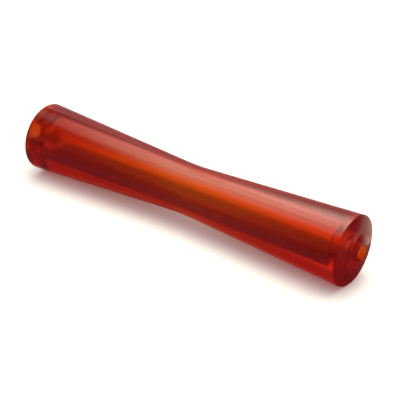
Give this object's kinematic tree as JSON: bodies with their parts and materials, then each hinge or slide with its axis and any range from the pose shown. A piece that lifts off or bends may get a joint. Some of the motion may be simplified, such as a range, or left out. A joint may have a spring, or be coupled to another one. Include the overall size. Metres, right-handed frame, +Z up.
{
  "type": "boat trailer keel roller",
  "caption": "Hourglass keel roller in translucent red polyurethane, cored out inside, with coned ends and a shaft hole through bonded end plugs.",
  "frame": {"origin": "on the shaft axis, halfway between the two ends", "axes": "+X along the shaft axis towards the right end, +Z up, with the roller lying level"},
  "size_m": [0.3194, 0.057, 0.057],
  "materials": {
    "red_urethane": "translucent moulded polyurethane with a soft sheen"
  },
  "bodies": {
    "root": {"roller_body": "red_urethane", "left_end_plug": "red_urethane", "right_end_plug": "red_urethane"}
  },
  "joints": []
}
